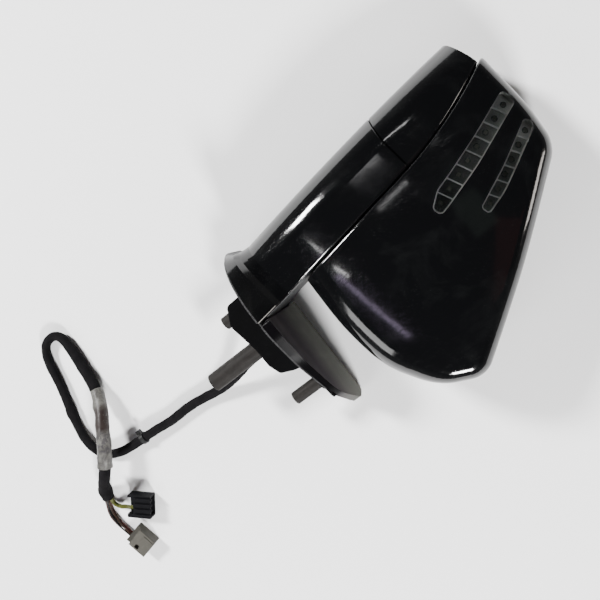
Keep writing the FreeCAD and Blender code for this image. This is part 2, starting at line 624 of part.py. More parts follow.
def make_glass():
    limit = below(CAP_EDGE_Y - GLASS_INSET)
    glass = prism(head_wire(GLASS_INSET), GLASS_Z, GLASS_Z + GLASS_THICK).common(limit)
    glass = softened(glass, 6.0, lambda b: b.ZLength > 2 and b.YMin > CAP_EDGE_Y - GLASS_INSET - 1)
    glass = softened(glass, 0.7, lambda b: b.ZMax < GLASS_Z + 0.01)
    save("mirror_glass", place(glass))

    low = GLASS_Z + GLASS_THICK
    limit = below(CAP_EDGE_Y - GLASS_INSET - 4)
    heater = prism(head_wire(GLASS_INSET + 4), low, low + HEATER_THICK).common(limit)
    save("heater_pad", place(heater))

    low = low + HEATER_THICK
    high = low + CARRIER_THICK
    limit = below(CAP_EDGE_Y - GLASS_INSET - 5)
    plate = prism(head_wire(GLASS_INSET + 5), low, high).common(limit)
    plate = plate.cut(rod(27.0, (PIVOT_X, PIVOT_Y, 0), (PIVOT_X, PIVOT_Y, 50)))
    bar = box((PIVOT_X - 6, PIVOT_X + 6), (PIVOT_Y - 28, PIVOT_Y + 28), (low, high))
    parts = [bar]
    for side in (-1, 1):
        parts.append(box((PIVOT_X - 3.5, PIVOT_X + 3.5), (PIVOT_Y + side * 9, PIVOT_Y + side * 13.2),
                         (low, PIVOT_Z + 2.4)))
    for x, y in (PAN_SPOT, TILT_SPOT):
        parts.append(rod(8.2, (x, y, low), (x, y, PIVOT_Z + 2.5)))
    for x in (30.0, 60.0, 170.0, 190.0):
        rib = box((x - 0.9, x + 0.9), (-18.0, -115.0), (high - 0.5, high + 1.6))
        parts.append(rib.common(prism(head_wire(GLASS_INSET + 7), 0, 40)))
    carrier = plate.fuse(parts).removeSplitter()
    for x, y in (PAN_SPOT, TILT_SPOT):
        carrier = carrier.cut(rod(6.0, (x, y, low + 1.0), (x, y, 40)))
    carrier = carrier.cut(rod(PIN_BORE, (PIVOT_X, PIVOT_Y - 14, PIVOT_Z), (PIVOT_X, PIVOT_Y + 14, PIVOT_Z)))
    save("glass_carrier", place(biggest(carrier)))


# ---------------------------------------------------------------- arm casing and foot
REAR_OPENING = {"x": (-4.0, 100.0), "y": (16.0, 45.0)}


def door_side(x_limit):
    """Everything outboard of a plane parallel to the door, in the head frame."""
    block = box((x_limit, 400), (-400, 400), (-50, 250))
    turn = Rotation(Vector(0, 0, 1), -SWEEP_DEG)
    block.Placement = Placement(turn.multVec(-HEAD_ORIGIN), turn)
    return block


def make_arm(arm_outer, arm_inner):
    outer = arm_outer.common(tongue(TONGUE_RADIUS)).fuse(flare_form(ARM_Y))
    outer = softened(outer, 1.6, lambda b: b.XMin > 115 and b.ZMin > 50 and b.YLength > 20)
    cavity = arm_inner.common(tongue(TONGUE_RADIUS - WALL)).fuse(flare_form(ARM_Y, WALL))
    shell = outer.cut(cavity)
    shell = shell.cut(fold_rod(PEDESTAL_RADIUS + 0.5, 0, 15))
    (x0, x1), (y0, y1) = REAR_OPENING["x"], REAR_OPENING["y"]
    opening = flat_wire([(x0, y0), (x1, y0), (x1, y1), (x0, y1)], 5.0)
    shell = shell.cut(prism(opening, ARM_FLOOR - 1, ARM_FLOOR + WALL + 1))
    save("foot_cover", place(biggest(shell)))

    panel = prism(opening.makeOffset2D(-CLEAR), ARM_FLOOR, ARM_FLOOR + WALL)
    ledge = prism(opening.makeOffset2D(2.5), ARM_FLOOR + WALL + 0.05, ARM_FLOOR + WALL + 1.6)
    panel = panel.fuse([ledge, prism(opening.makeOffset2D(-1.0), ARM_FLOOR + 1, ARM_FLOOR + WALL + 1)])
    places = [(x0 + 9, (y0 + y1) / 2), ((x0 + x1) / 2, (y0 + y1) / 2), (x1 - 9, (y0 + y1) / 2)]
    for x, y in places:
        panel = panel.cut(rod(1.7, (x, y, 0), (x, y, 30)))
        panel = panel.cut(rod(3.6, (x, y, 0), (x, y, ARM_FLOOR + 1.6)))
    save("arm_rear_panel", place(biggest(panel)))
    screws = [screw(3.3, 1.6, 1.6, 23.0, (x, y, ARM_FLOOR + 1.6), (0, 0, 1)) for x, y in places]
    save("panel_screws", place(Part.makeCompound(screws)))
    return places


def door_wire(corners, radii, x):
    return rounded_wire([Vector(x, y, z) for y, z in corners], radii)


SAIL_CORNERS = [(24.6, 0.0), (24.6, 104.5), (13.0, 104.0), (-19.0, 90.5), (-60.0, 58.0),
                (-81.0, 17.0), (-77.0, 0.0)]
SAIL_RADII = [0.0, 3.0, 40.0, 70.0, 60.0, 12.0, 3.0]


def sail_wire(x, inset=0.0):
    wire = door_wire(SAIL_CORNERS, SAIL_RADII, x)
    return wire.makeOffset2D(-inset) if inset else wire


def make_sail():
    blank = Part.Face(sail_wire(DOOR_X)).extrude(Vector(SAIL_THICK, 0, 0))
    axis_x = DOOR_X + SAIL_THICK - SAIL_DISH + SAIL_DISH_RADIUS
    hollow = Part.makeCylinder(SAIL_DISH_RADIUS, 300, Vector(axis_x, -200, 56.0), Vector(0, 1, 0))
    sail = biggest(blank.cut(hollow))
    sail = softened(sail, SAIL_EDGE_RADIUS, lambda b: b.XMin > DOOR_X + 2)
    pocket = Part.Face(sail_wire(DOOR_X, 5.0)).extrude(Vector(2.2, 0, 0))
    save("sail_plate", biggest(sail.cut(pocket)))


def flange_wire(x, inset):
    near, far = FLARE_Y
    corners = [(near + inset, inset), (near + inset, FLARE_TOP - inset),
               (far - inset, FLARE_TOP - inset), (far - inset, inset)]
    radii = [1.0, 1.0, 58.0 - inset, max(14.0 - inset, 2.0)]
    return door_wire(corners, radii, x)


def make_gasket():
    step = Vector(-GASKET_THICK, 0, 0)
    pad = Part.Face(flange_wire(DOOR_X, 2.0)).extrude(step)
    pad = pad.fuse(Part.Face(sail_wire(DOOR_X, 2.0)).extrude(step))
    bridge = box((DOOR_X - GASKET_THICK, DOOR_X), (20.0, 30.0), (2.0, 101.0))
    pad = pad.fuse(bridge).removeSplitter()
    window = door_wire(BLOCK_WINDOW, 6.0, DOOR_X + 1)
    pad = pad.cut(Part.Face(window).extrude(Vector(-5, 0, 0)))
    save("foot_gasket", biggest(pad))


BLOCK_WINDOW = [(-62.0, 24.0), (-62.0, 58.0), (-30.0, 70.0), (61.0, 70.0), (61.0, 12.0), (-30.0, 12.0)]
BLOCK_OUTLINE = [(DOOR_X - 0.2, 57.0), (-120.6, 56.0), (-129.0, 40.0), (-123.6, 11.0), (-123.0, -7.0),
                 (-118.8, -18.0), (-107.0, -23.0), (DOOR_X - 0.2, -26.0)]


def make_foot_frame(panel_places):
    block = prism(flat_wire(BLOCK_OUTLINE, [0, 5, 8, 10, 6, 4, 6, 0]), *BLOCK_Z)
    block = softened(block, 2.5, lambda b: b.ZLength < 0.01 and b.XMax < DOOR_X - 1)
    base = Part.Face(door_wire(BLOCK_WINDOW, 6.0, DOOR_X))
    base = base.extrude(Vector(-GASKET_THICK, 0, 0))
    inner = [(29.5, 8.0), (29.5, 88.0), (72.0, 88.0), (72.0, 8.0)]
    plate = Part.Face(door_wire(inner, [1, 1, 41, 12], DOOR_X)).extrude(Vector(3.5, 0, 0))
    beam = box((-52.0, FOLD_X + 4), (21.0, 47.0), (40.0, 72.0)).common(door_side(DOOR_X + 1.0))
    beam = beam.cut(box((-40.0, 20.0), (25.0, 43.0), (30.0, 66.0)))
    pedestal = fold_rod(PEDESTAL_RADIUS, PEDESTAL_TOP_Y, 50.0)
    spine = beam.fuse(pedestal).cut(fold_rod(TUBE_RADIUS + 0.03, 0, 47))
    bosses = []
    for x, y in panel_places:
        bosses.append(rod(4.2, (x, y, ARM_FLOOR + WALL + 1.8), (x, y, 44.0)))
    boss_bar = box((panel_places[0][0] - 4, panel_places[2][0] + 4),
                   (panel_places[0][1] - 4, panel_places[0][1] + 4), (38.0, 44.0))
    spine = spine.fuse(bosses + [boss_bar])
    for x, y in panel_places:
        spine = spine.cut(rod(1.65, (x, y, 0), (x, y, 43.0)))
    frame = place(spine).fuse([block, base, plate])
    for stud in STUDS.values():
        collar = min(stud["seat"] - 8.0, DOOR_X - GASKET_THICK - 2.0)
        frame = frame.fuse(rod(stud["radius"] + 2.5, (DOOR_X - 1.0, stud["y"], stud["z"]),
                               (collar, stud["y"], stud["z"])))
    for stud in STUDS.values():
        frame = frame.cut(rod(stud["radius"] + 0.03, (stud["seat"], stud["y"], stud["z"]),
                              (-200, stud["y"], stud["z"])))
    frame = frame.cut(rod(9.0, (-112.0, CORD_EXIT.y, CORD_EXIT.z), (-150, CORD_EXIT.y, CORD_EXIT.z)))
    save("foot_frame", biggest(frame.removeSplitter()))


def make_studs():
    for name, stud in STUDS.items():
        y, z, tip = stud["y"], stud["z"], stud["tip"]
        body = rod(stud["radius"], (stud["seat"], y, z), (tip, y, z))
        body = softened(body, 0.8, lambda b: b.XMax < tip + 0.01)
        save(name, body.cut(rod(stud["bore"], (tip - 1, y, z), (tip + stud["bore_depth"], y, z))))


# ---------------------------------------------------------------- harness
def bent_path(points):
    """Straight runs joined by tangent arcs, each as large as its two runs allow, and the radii."""
    edges = []
    start = points[0]
    radii = []
    for before, corner, after in zip(points, points[1:], points[2:]):
        back = before - corner
        ahead = after - corner
        turn = math.pi - back.getAngle(ahead)
        reach = 0.45 * min(back.Length, ahead.Length)
        radius = reach / math.tan(turn / 2)
        radii.append(round(radius, 1))
        entry = corner + back.normalize() * reach
        leave = corner + ahead.normalize() * reach
        middle_way = (back + ahead).normalize()
        middle = corner + middle_way * (radius / math.cos(turn / 2) - radius)
        edges.append(Part.LineSegment(start, entry).toShape())
        edges.append(Part.Arc(entry, middle, leave).toShape())
        start = leave
    edges.append(Part.LineSegment(start, points[-1]).toShape())
    return Part.Wire(edges), radii


def swept(path, radius):
    """A round bar of the given radius along a path."""
    first = path.Edges[0]
    start = first.valueAt(first.FirstParameter)
    section = Part.Wire(Part.makeCircle(radius, start, first.tangentAt(first.FirstParameter)))
    return path.makePipeShell([section], True, False)


def save_cord(name, points, diameter):
    """Write a cord's tube, print its radii and length, and compare its volume; gives its path."""
    path, radii = bent_path(points)
    solid = swept(path, diameter / 2)
    expected = math.pi * (diameter / 2) ** 2 * path.Length
    print(name, "radii", radii, "length", round(path.Length, 1),
          "volume over section times length", round(solid.Volume / expected, 4), solid.isValid())
    save(name, solid)
    return path


CORD_POINTS = [Vector(*point) for point in (
    (-130.0, 6.5, 30.0), (-146.0, 6.5, 30.0), (-162.0, 3.0, 22.0), (-180.0, 1.0, 12.5),
    (-201.0, 3.0, 6.0), (-227.0, 7.0, LOW), (-254.0, 6.0, LOW), (-275.0, 9.0, 6.4),
    (-298.0, 10.0, 6.4), (-318.0, 12.0, LOW), (-334.0, 20.0, LOW), (-341.0, 37.0, LOW),
    (-338.5, 59.0, LOW), (-332.0, 82.0, LOW), (-325.0, 104.0, LOW), (-321.5, 127.0, LOW),
    (-314.2, 141.2, LOW), (-305.6, 145.2, LOW), (-297.3, 143.5, LOW), (-292.1, 136.8, LOW),
    (-292.4, 117.0, LOW), (-294.6, 94.0, 5.5), (-295.4, 73.0, 10.0), (-298.5, 57.5, 17.5),
    (-306.0, 42.5, 24.0), (-316.0, 26.0, 26.0), (-331.0, 7.5, 26.0), (-344.0, -1.0, 19.5),
    (-354.0, -7.5, 10.5), (-359.0, -16.0, 6.8))]
BLACK_BRANCH = [Vector(*point) for point in (
    (-356.5, -17.58, 6.765), (-359.83, -23.23, 4.31), (-356.4, -31.2, 3.4), (-350.6, -33.4, 5.6),
    (-345.7, -36.7, 7.3), (-341.1, -40.4, 7.3))]
WHITE_BRANCH = [Vector(*point) for point in (
    (-360.77, -15.07, 6.765), (-363.86, -20.3, 4.48), (-369.4, -31.0, 3.1), (-369.2, -41.6, 3.1),
    (-366.4, -51.7, 4.4), (-364.6, -59.45, 4.5))]
LABEL_RUNS = (22, 25)
TIE_RUN = 7


def sleeve(path, runs, inner, outer):
    """A tube round the cord, over the straight runs from the first to the last one given."""
    part = Part.Wire(path.Edges[2 * runs[0]:2 * runs[1] + 1])
    return swept(part, outer).cut(swept(part, inner))


def make_harness():
    radius = CORD_DIAMETER / 2
    path = save_cord("harness_cord", CORD_POINTS, CORD_DIAMETER)
    save_cord("branch_wires_black", BLACK_BRANCH, BLACK_BRANCH_DIAMETER)
    save_cord("branch_wires_white", WHITE_BRANCH, WHITE_BRANCH_DIAMETER)
    save("harness_label", sleeve(path, LABEL_RUNS, radius + 0.05, radius + LABEL_THICK))

    run = path.Edges[2 * TIE_RUN]
    middle = run.valueAt((0.3 * run.FirstParameter + 0.7 * run.LastParameter))
    along = run.tangentAt(run.FirstParameter)
    start = middle - along * 2.0
    tie = Part.makeCylinder(radius + 1.0, 4.0, start, along)
    head = Part.makeBox(4.6, 5.0, 4.0, middle + Vector(-2.3, radius - 0.4, -1.0))
    tie = tie.fuse(head).cut(Part.makeCylinder(radius + 0.1, 30.0, middle - along * 15, along))
    save("cable_tie", tie)

    y, z = CORD_EXIT.y, CORD_EXIT.z
    plug = rod(8.9, (-112.0, y, z), (CORD_EXIT.x, y, z))
    save("cable_grommet", plug.fuse(rod(11.0, (-125.4, y, z), (-128.4, y, z))))


def connector(length, width, height):
    """Plain housing of a plug: wires enter at x = 0, and the mating face is at x = length."""
    shell = box((0, length), (-width / 2, width / 2), (0, height))
    return softened(shell, 0.8, lambda b: b.XLength > length - 1)


def make_connectors():
    shell = connector(24.0, 23.0, 13.0)
    shell = shell.cut(box((17.0, 25.0), (-9.6, 9.6), (2.0, 11.0)))
    shell = shell.cut(box((-1.0, 6.0), (-7.5, 9.5), (4.9, 14.0)))
    for y in (-8.0, -2.5, 3.0, 8.5):
        shell = shell.fuse(box((8.0, 26.0), (y - 0.9, y + 0.9), (12.5, 14.2)))
    shell.Placement = Placement(Vector(-343.9, -34.3, 0), Rotation(Vector(0, 0, 1), -38.5))
    save("black_connector", shell)

    shell = connector(24.5, 20.5, 12.0)
    shell = shell.cut(box((-1.0, 4.5), (-12.0, 12.0), (8.0, 13.0)))
    shell = shell.cut(box((16.0, 25.0), (-8.0, 8.0), (2.0, 9.8)))
    shell = shell.cut(box((10.4, 14.8), (-8.2, -3.8), (9.0, 13.0)))
    shell = shell.fuse(box((12.0, 24.5), (1.0, 8.0), (11.5, 12.7)))
    shell.Placement = Placement(Vector(-360.7, -58.6, 0), Rotation(Vector(0, 0, 1), -77.0))
    save("white_connector", shell)


# ---------------------------------------------------------------- build
def build():
    os.makedirs("parts", exist_ok=True)
    depths = (0.0, WALL, WALL + 0.3, TRAY_DEPTH, BOARD_DEPTH, BOARD_BACK_DEPTH)
    forms = [head_block(depth) for depth in depths]
    cover_outer = arm_form(COVER_Y)
    cover_inner = arm_form(COVER_Y, WALL)
    arm_outer = arm_form(ARM_Y)
    arm_inner = arm_form(ARM_Y, WALL)
    make_front_cap(forms)
    make_housing_floor(forms)
    make_bezel()
    make_lower_cover(cover_outer, cover_inner)
    make_lights(forms)
    make_head_frame()
    make_cap_screws()
    make_fold_drive()
    make_pivot()
    make_adjuster()
    make_gimbal()
    make_glass()
    places = make_arm(arm_outer, arm_inner)
    make_sail()
    make_gasket()
    make_foot_frame(places)
    make_studs()
    make_harness()
    make_connectors()


build()
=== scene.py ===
import bmesh
import bpy
import json
import math
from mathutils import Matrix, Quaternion, Vector, noise


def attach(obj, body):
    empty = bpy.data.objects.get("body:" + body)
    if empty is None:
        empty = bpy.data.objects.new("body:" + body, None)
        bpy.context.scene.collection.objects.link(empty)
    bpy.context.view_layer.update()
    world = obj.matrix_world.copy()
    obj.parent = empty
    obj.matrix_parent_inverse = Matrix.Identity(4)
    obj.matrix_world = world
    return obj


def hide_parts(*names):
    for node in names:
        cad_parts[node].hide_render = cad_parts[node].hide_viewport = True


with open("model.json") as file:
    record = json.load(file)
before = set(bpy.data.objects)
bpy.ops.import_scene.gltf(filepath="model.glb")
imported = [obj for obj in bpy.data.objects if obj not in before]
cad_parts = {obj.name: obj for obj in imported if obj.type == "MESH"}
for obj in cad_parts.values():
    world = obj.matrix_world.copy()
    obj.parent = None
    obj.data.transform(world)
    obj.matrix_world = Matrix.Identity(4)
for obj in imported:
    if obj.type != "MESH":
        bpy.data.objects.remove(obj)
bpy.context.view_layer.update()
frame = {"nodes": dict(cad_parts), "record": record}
nodes = frame["nodes"]

# ---------------------------------------------------------------- camera
SENSOR_WIDTH = 36.0                          # mm
FOCAL_LENGTH = 43.2                          # mm
CAMERA_PLACE = (0.0734, 0.0128, 0.650)
CAMERA_TURN = (-7.5164, 10.9113, -38.5)      # degrees about X, Y and Z

camera_data = bpy.data.cameras.new("camera")
camera_data.sensor_width = SENSOR_WIDTH
camera_data.lens = FOCAL_LENGTH
camera_data.clip_start = 0.01
camera = bpy.data.objects.new("camera", camera_data)
camera.location = CAMERA_PLACE
camera.rotation_euler = [math.radians(angle) for angle in CAMERA_TURN]
bpy.context.collection.objects.link(camera)
bpy.context.scene.camera = camera


# ---------------------------------------------------------------- node trees
def set_stops(ramp, stops):
    """Gives a colour ramp its stops, each a place and a grey level or a colour."""
    while len(ramp.elements) < len(stops):
        ramp.elements.new(0.5)
    for element, (place, tone) in zip(ramp.elements, stops):
        element.position = place
        element.color = (tone, tone, tone, 1) if isinstance(tone, (int, float)) else (*tone, 1)


class Tree:
    """Short calls to build a material's node tree."""

    def __init__(self, name):
        self.material = bpy.data.materials.new(name)
        self.material.use_nodes = True
        self.nodes = self.material.node_tree.nodes
        self.links = self.material.node_tree.links
        self.shader = self.nodes["Principled BSDF"]
        self.place = self.nodes.new("ShaderNodeTexCoord")

    def set(self, **values):
        for key, value in values.items():
            self.shader.inputs[key.replace("_", " ")].default_value = value

    def feed(self, key, output):
        self.links.new(output, self.shader.inputs[key])

    def spot(self, stretch=(1, 1, 1), space="Object", turn=(0, 0, 0), shift=(0, 0, 0)):
        """Texture coordinates, stretched, turned by degrees and shifted."""
        mapping = self.nodes.new("ShaderNodeMapping")
        mapping.inputs["Location"].default_value = shift
        mapping.inputs["Scale"].default_value = stretch
        mapping.inputs["Rotation"].default_value = [math.radians(angle) for angle in turn]
        self.links.new(self.place.outputs[space], mapping.inputs["Vector"])
        return mapping.outputs["Vector"]

    def axis(self, letter, where=None):
        """One part of a vector, or of the place on the object."""
        node = self.nodes.new("ShaderNodeSeparateXYZ")
        self.links.new(where or self.place.outputs["Object"], node.inputs[0])
        return node.outputs[letter]

    def upward(self, low, high):
        """0 where the surface stands upright, 1 where it faces up or down."""
        face = self.nodes.new("ShaderNodeNewGeometry")
        height = self.axis("Z", face.outputs["Normal"])
        return self.ramp(self.math("ABSOLUTE", height, 0.0), (low, 0.0), (high, 1.0))

    def noise(self, scale, detail=4.0, rough=0.55, warp=0.0, where=None):
        node = self.nodes.new("ShaderNodeTexNoise")
        node.inputs["Scale"].default_value = scale
        node.inputs["Detail"].default_value = detail
        node.inputs["Roughness"].default_value = rough
        node.inputs["Distortion"].default_value = warp
        self.links.new(where or self.place.outputs["Object"], node.inputs["Vector"])
        return node.outputs["Fac"]

    def cells(self, scale):
        node = self.nodes.new("ShaderNodeTexVoronoi")
        node.inputs["Scale"].default_value = scale
        self.links.new(self.place.outputs["Object"], node.inputs["Vector"])
        return node.outputs["Distance"]

    def waves(self, scale, warp=0.0, direction="X", where=None):
        node = self.nodes.new("ShaderNodeTexWave")
        node.bands_direction = direction
        node.inputs["Scale"].default_value = scale
        node.inputs["Distortion"].default_value = warp
        self.links.new(where or self.place.outputs["Object"], node.inputs["Vector"])
        return node.outputs["Fac"]

    def ramp(self, value, *stops):
        node = self.nodes.new("ShaderNodeValToRGB")
        set_stops(node.color_ramp, stops)
        self.links.new(value, node.inputs["Fac"])
        return node.outputs["Color"]

    def math(self, kind, first, second):
        node = self.nodes.new("ShaderNodeMath")
        node.operation = kind
        for socket, value in zip(node.inputs, (first, second)):
            if isinstance(value, (int, float)):
                socket.default_value = value
            else:
                self.links.new(value, socket)
        return node.outputs["Value"]

    def blend(self, share, first, second):
        node = self.nodes.new("ShaderNodeMix")
        node.data_type = "RGBA"
        self.links.new(share, node.inputs[0])
        for socket, value in zip((node.inputs[6], node.inputs[7]), (first, second)):
            if isinstance(value, tuple):
                socket.default_value = (*value, 1)
            else:
                self.links.new(value, socket)
        return node.outputs[2]

    def mottle(self, cloud, low, high, dark, light):
        """dark where the cloud is under low, light where it is over high."""
        return self.blend(self.ramp(cloud, (low, 0.0), (high, 1.0)), dark, light)

    def roughness(self, cloud, swing, least):
        """Roughness from least, up by as much as swing with the cloud."""
        self.feed("Roughness", self.math("ADD", self.math("MULTIPLY", cloud, swing), least))

    def bump(self, height, distance, strength=1.0):
        """Adds a bump of so many metres on top of the bumps already there."""
        node = self.nodes.new("ShaderNodeBump")
        node.inputs["Strength"].default_value = strength
        node.inputs["Distance"].default_value = distance
        self.links.new(height, node.inputs["Height"])
        if self.shader.inputs["Normal"].links:
            self.links.new(self.shader.inputs["Normal"].links[0].from_socket, node.inputs["Normal"])
        self.links.new(node.outputs["Normal"], self.shader.inputs["Normal"])


# ---------------------------------------------------------------- materials
def gloss_black(name):
    """Black lacquer: faint waviness, hairline scratches, wiped dust, duller on upright walls."""
    tree = Tree(name)
    tree.set(Coat_Weight=0.0, Specular_IOR_Level=0.5)
    film = tree.noise(26, 6, 0.62, 0.6)
    specks = tree.ramp(tree.cells(620), (0.05, 1.0), (0.13, 0.0))
    thinned = tree.math("MULTIPLY", specks, tree.ramp(tree.noise(34, 3), (0.52, 0.0), (0.66, 1.0)))
    haze = tree.math("MULTIPLY", tree.ramp(film, (0.50, 0.0), (0.80, 1.0)), 0.06)
    dust = tree.math("MAXIMUM", haze, tree.math("MULTIPLY", thinned, 0.5))
    tree.feed("Base Color", tree.blend(dust, (0.0022, 0.0023, 0.0026), (0.055, 0.060, 0.058)))
    lines = []
    for turn, scale in ((28, 30), (74, 51), (-33, 69)):
        fine = tree.noise(scale, 2, 0.5, 0.2, tree.spot((2.0, 95, 2.0), turn=(0, 0, turn)))
        lines.append(tree.ramp(fine, (0.66, 0.0), (0.72, 1.0)))
    hair = tree.math("MAXIMUM", tree.math("MAXIMUM", lines[0], lines[1]), lines[2])
    rough = tree.math("ADD", tree.math("MULTIPLY", film, 0.11), tree.math("MULTIPLY", hair, 0.10))
    wall = tree.math("SUBTRACT", 1.0, tree.upward(0.06, 0.30))
    dull = tree.math("MULTIPLY", wall, 0.50)
    tree.feed("Roughness", tree.math("ADD", tree.math("ADD", rough, dull), 0.025))
    tree.bump(tree.noise(95, 2, 0.4), 0.00005, 0.5)
    tree.bump(hair, 0.000012, 0.35)
    return tree.material


def moulded(name, colour, rough=0.5, grain=900, depth=0.00006, worn=0.25, shine=0.4):
    """Moulded plastic or rubber with a fine grain, uneven sheen and handling marks."""
    tree = Tree(name)
    tree.set(Specular_IOR_Level=shine)
    cloud = tree.noise(42, 5, 0.6, 0.4)
    pale = tuple(min(1.0, part * 1.7 + 0.02) for part in colour)
    dark = tuple(part * 0.72 for part in colour)
    base = tree.mottle(cloud, 0.3, 0.7, dark, colour)
    marks = tree.ramp(tree.noise(150, 6, 0.7), (0.55, 0.0), (0.75, worn))
    tree.feed("Base Color", tree.blend(marks, base, pale))
    tree.roughness(cloud, 0.22, rough - 0.1)
    tree.bump(tree.noise(grain, 3, 0.6), depth, 0.8)
    return tree.material


def metal(name, colour, rough, turned=True):
    """Plated or turned metal with tool lines and dull patches."""
    tree = Tree(name)
    tree.set(Metallic=1.0)
    cloud = tree.noise(60, 6, 0.65, 0.5)
    dark = tuple(part * 0.49 for part in colour)
    tree.feed("Base Color", tree.mottle(cloud, 0.35, 0.68, dark, colour))
    tree.roughness(cloud, 0.25, rough - 0.1)
    if turned:
        grain = tree.noise(3, 3, 0.6, 0, tree.spot((700, 3, 3)))
    else:
        grain = tree.noise(2, 3, 0.6, 0, tree.spot((260, 260, 260)))
    tree.bump(grain, 0.00003, 0.6)
    return tree.material


def bush_metal(name):
    """Grey-brown phosphated steel, darker and oilier in patches."""
    tree = Tree(name)
    tree.set(Metallic=0.1, Specular_IOR_Level=0.08)
    cloud = tree.noise(70, 7, 0.65, 0.8)
    base = tree.mottle(cloud, 0.32, 0.66, (0.009, 0.0082, 0.0076), (0.019, 0.0172, 0.016))
    scuff = tree.ramp(tree.noise(8, 5, 0.7, 0.3, tree.spot((6, 60, 60))), (0.58, 0.0), (0.70, 0.6))
    tree.feed("Base Color", tree.blend(scuff, base, (0.034, 0.031, 0.029)))
    tree.roughness(cloud, 0.30, 0.45)
    tree.bump(tree.noise(900, 3, 0.6), 0.00005, 0.7)
    return tree.material


def grained(name):
    """Grained black plastic of the sail plate: a painted reflection of the pale floor greys its upright
    faces, palest low down; black and smooth round its edge.
    """
    tree = Tree(name)
    tree.set(Specular_IOR_Level=0.02)
    cloud = tree.noise(24, 5, 0.6, 0.5)
    # Painted reflection of the pale floor, made paler to lift the shadow the head casts: the upright
    # faces turn grey, palest low down and darkening upward; the plastic itself is black, as on its edge.
    painted_reflection_height = tree.math("MULTIPLY", tree.axis("Z"), 10.0)
    film = tree.ramp(painted_reflection_height, (0.05, (0.22, 0.225, 0.20)), (0.32, (0.20, 0.198, 0.185)),
                     (0.62, (0.105, 0.095, 0.105)), (0.95, (0.045, 0.040, 0.045)))
    grey = tree.blend(tree.math("MULTIPLY", cloud, 0.5), film, (0.014, 0.013, 0.015))
    edge = tree.upward(0.30, 0.60)
    tree.feed("Base Color", tree.blend(edge, grey, (0.0022, 0.0020, 0.0024)))
    tree.roughness(cloud, 0.18, tree.math("SUBTRACT", 0.62, tree.math("MULTIPLY", edge, 0.48)))
    tree.bump(tree.cells(1500), 0.00006, 0.5)
    tree.bump(tree.noise(500, 3), 0.00005, 0.5)
    return tree.material


def clear_lens(name):
    """Smoky clear moulding with fine optics on its back."""
    tree = Tree(name)
    tree.set(Transmission_Weight=1.0, IOR=1.49, Specular_IOR_Level=0.4)
    cloud = tree.noise(80, 4, 0.6)
    tree.feed("Base Color", tree.mottle(cloud, 0.4, 0.8, (0.62, 0.64, 0.64), (0.80, 0.82, 0.82)))
    tree.roughness(cloud, 0.12, 0.02)
    tree.bump(tree.waves(330, 0.3, "DIAGONAL"), 0.00003, 0.35)
    return tree.material


CROWN_SHIFT = (-0.01749, 0.01565, 0.324)     # moves the centre of the cap's crown to the origin
TRAY_FLOOR = 0.4108                          # distance from that centre to the trays' floor
PER_TRAY_DEPTH = 154.0                       # one over the trays' depth of 6.5 mm


def reflector(name):
    """Metallised tray: pale on its ribs, with painted shade greying the cells' floors and a painted
    highlight towards the outer end.
    """
    tree = Tree(name)
    tree.set(Metallic=0.3)
    cloud = tree.noise(70, 5, 0.6, 0.3)
    away = tree.nodes.new("ShaderNodeVectorMath")
    away.operation = "LENGTH"
    tree.links.new(tree.spot(shift=CROWN_SHIFT), away.inputs[0])
    above = tree.math("SUBTRACT", away.outputs["Value"], TRAY_FLOOR)
    height = tree.math("MULTIPLY", above, PER_TRAY_DEPTH)
    # Painted shade: the deeper down in the cells, the darker; only the rib tops keep the pale tone.
    tone = tree.ramp(height, (0.30, 0.060), (0.72, 0.115), (0.92, 0.62))
    # Painted highlight: towards the outer end, where the strips wrap over the shoulder, the whole tray
    # turns an even pale grey.
    painted_outer_highlight = tree.ramp(tree.math("MULTIPLY", tree.axis("X"), 6.0),
                         (0.50, 0.0), (0.78, 0.25), (0.86, 0.45), (0.94, 1.0))
    tone = tree.blend(painted_outer_highlight, tone, (0.50, 0.50, 0.48))
    tree.feed("Base Color", tree.blend(tree.math("MULTIPLY", cloud, 0.35), tone, (0.03, 0.03, 0.03)))
    tree.roughness(cloud, 0.2, 0.22)
    tree.bump(tree.noise(260, 3), 0.00008, 0.5)
    return tree.material


def mirror_face(name):
    """Coated mirror glass with a faint wiped film."""
    tree = Tree(name)
    tree.set(Metallic=1.0, Coat_Weight=1.0, Coat_Roughness=0.01)
    cloud = tree.noise(18, 5, 0.6)
    tree.feed("Base Color", tree.mottle(cloud, 0.3, 0.8, (0.72, 0.78, 0.80), (0.80, 0.84, 0.86)))
    tree.feed("Roughness", tree.math("MULTIPLY", tree.ramp(cloud, (0.5, 0.0), (0.9, 1.0)), 0.12))
    return tree.material


def board(name):
    """Dark circuit board with raised tracks."""
    tree = Tree(name)
    tree.set(Coat_Weight=0.4, Coat_Roughness=0.2)
    tracks = tree.ramp(tree.waves(420, 3.0, "DIAGONAL"), (0.62, 0.0), (0.70, 1.0))
    tree.feed("Base Color", tree.blend(tracks, (0.020, 0.023, 0.021), (0.060, 0.066, 0.060)))
    tree.roughness(tree.noise(90), 0.2, 0.28)
    tree.bump(tracks, 0.00003, 0.6)
    return tree.material


def foam(name):
    """Closed-cell seal with open pores where it was cut."""
    tree = Tree(name)
    tree.set(Specular_IOR_Level=0.2)
    pores = tree.cells(900)
    tree.feed("Base Color", tree.mottle(pores, 0.2, 0.6, (0.006, 0.006, 0.006), (0.035, 0.035, 0.036)))
    tree.roughness(pores, 0.2, 0.75)
    tree.bump(pores, 0.0003, 0.8)
    return tree.material


